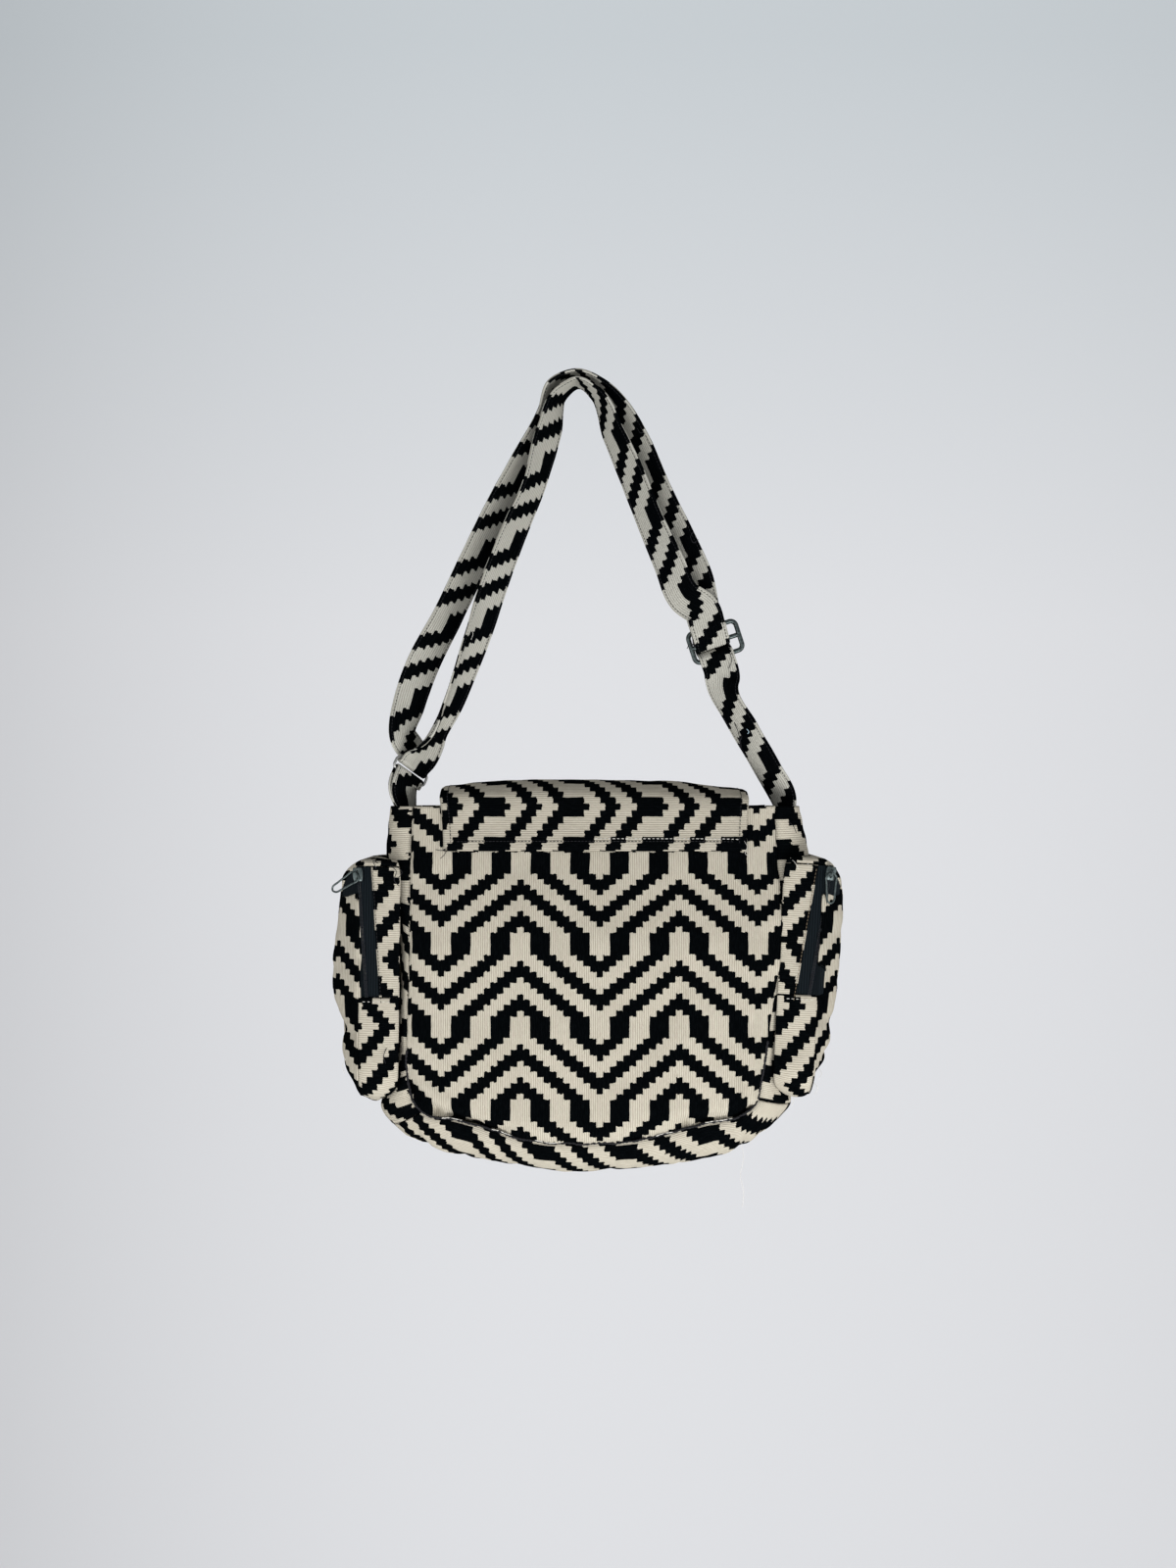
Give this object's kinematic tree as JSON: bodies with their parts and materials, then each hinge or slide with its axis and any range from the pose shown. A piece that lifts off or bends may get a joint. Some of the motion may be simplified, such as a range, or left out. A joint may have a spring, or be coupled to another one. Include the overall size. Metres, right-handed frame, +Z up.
{
  "type": "shoulder bag",
  "caption": "Soft flap-over shoulder bag of ribbed black and natural cotton in a stepped zigzag, with zipped side pockets and an adjustable doubled strap.",
  "frame": {"origin": "the point the strap hangs from, on the underside of its inner layer, mid-width", "axes": "+Z up, +X to the right across the back of the bag, +Y from the back (the side seen) to the flap side"},
  "size_m": [0.4154, 0.0943, 0.6537],
  "materials": {
    "ribbed_cotton": "heavy ribbed cotton, black and natural stepped zigzag",
    "strap_cotton": "the same cloth, folded and topstitched",
    "zip_tape": "woven black-blue zip tape",
    "slider_gunmetal": "dark grey-green metal",
    "wire_steel": "worn bare steel wire"
  },
  "bodies": {
    "bag": {"back_panel": "ribbed_cotton", "front_panel": "ribbed_cotton", "gusset_left": "ribbed_cotton", "gusset_bottom": "ribbed_cotton", "gusset_right": "ribbed_cotton", "flap": "ribbed_cotton", "left_pocket_face": "ribbed_cotton", "left_pocket_boxing": "ribbed_cotton", "left_zip_strip": "ribbed_cotton", "left_zip_tape_inner": "zip_tape", "left_zip_tape_outer": "zip_tape", "right_pocket_face": "ribbed_cotton", "right_pocket_boxing": "ribbed_cotton", "right_zip_strip": "ribbed_cotton", "right_zip_tape_inner": "zip_tape", "right_zip_tape_outer": "zip_tape", "shoulder_strap": "strap_cotton", "ring_tab": "strap_cotton", "strap_ring": "wire_steel", "strap_adjuster": "wire_steel"},
    "left_slider": {"left_zip_slider": "slider_gunmetal"},
    "left_pull": {"left_zip_pull": "slider_gunmetal"},
    "right_slider": {"right_zip_slider": "slider_gunmetal"},
    "right_pull": {"right_zip_pull": "slider_gunmetal"}
  },
  "joints": [
    {"name": "left_zip_slide", "type": "slide", "parent": "bag", "child": "left_slider", "axis": [-0.0525, 0, 0.9986], "range_m": [-0.085, 0]},
    {"name": "left_pull_swing", "type": "hinge", "parent": "left_slider", "child": "left_pull", "pos_m": [-0.172, -0.04018, -0.39555], "axis": [-0.5274, 0.0507, 0.8481], "range_deg": [0, 170]},
    {"name": "right_zip_slide", "type": "slide", "parent": "bag", "child": "right_slider", "axis": [0.1569, 0, 0.9876], "range_m": [-0.085, 0]},
    {"name": "right_pull_swing", "type": "hinge", "parent": "right_slider", "child": "right_pull", "pos_m": [0.19465, -0.04018, -0.39443], "axis": [-0.9945, -0.1035, 0.0171], "range_deg": [0, 170]}
  ]
}
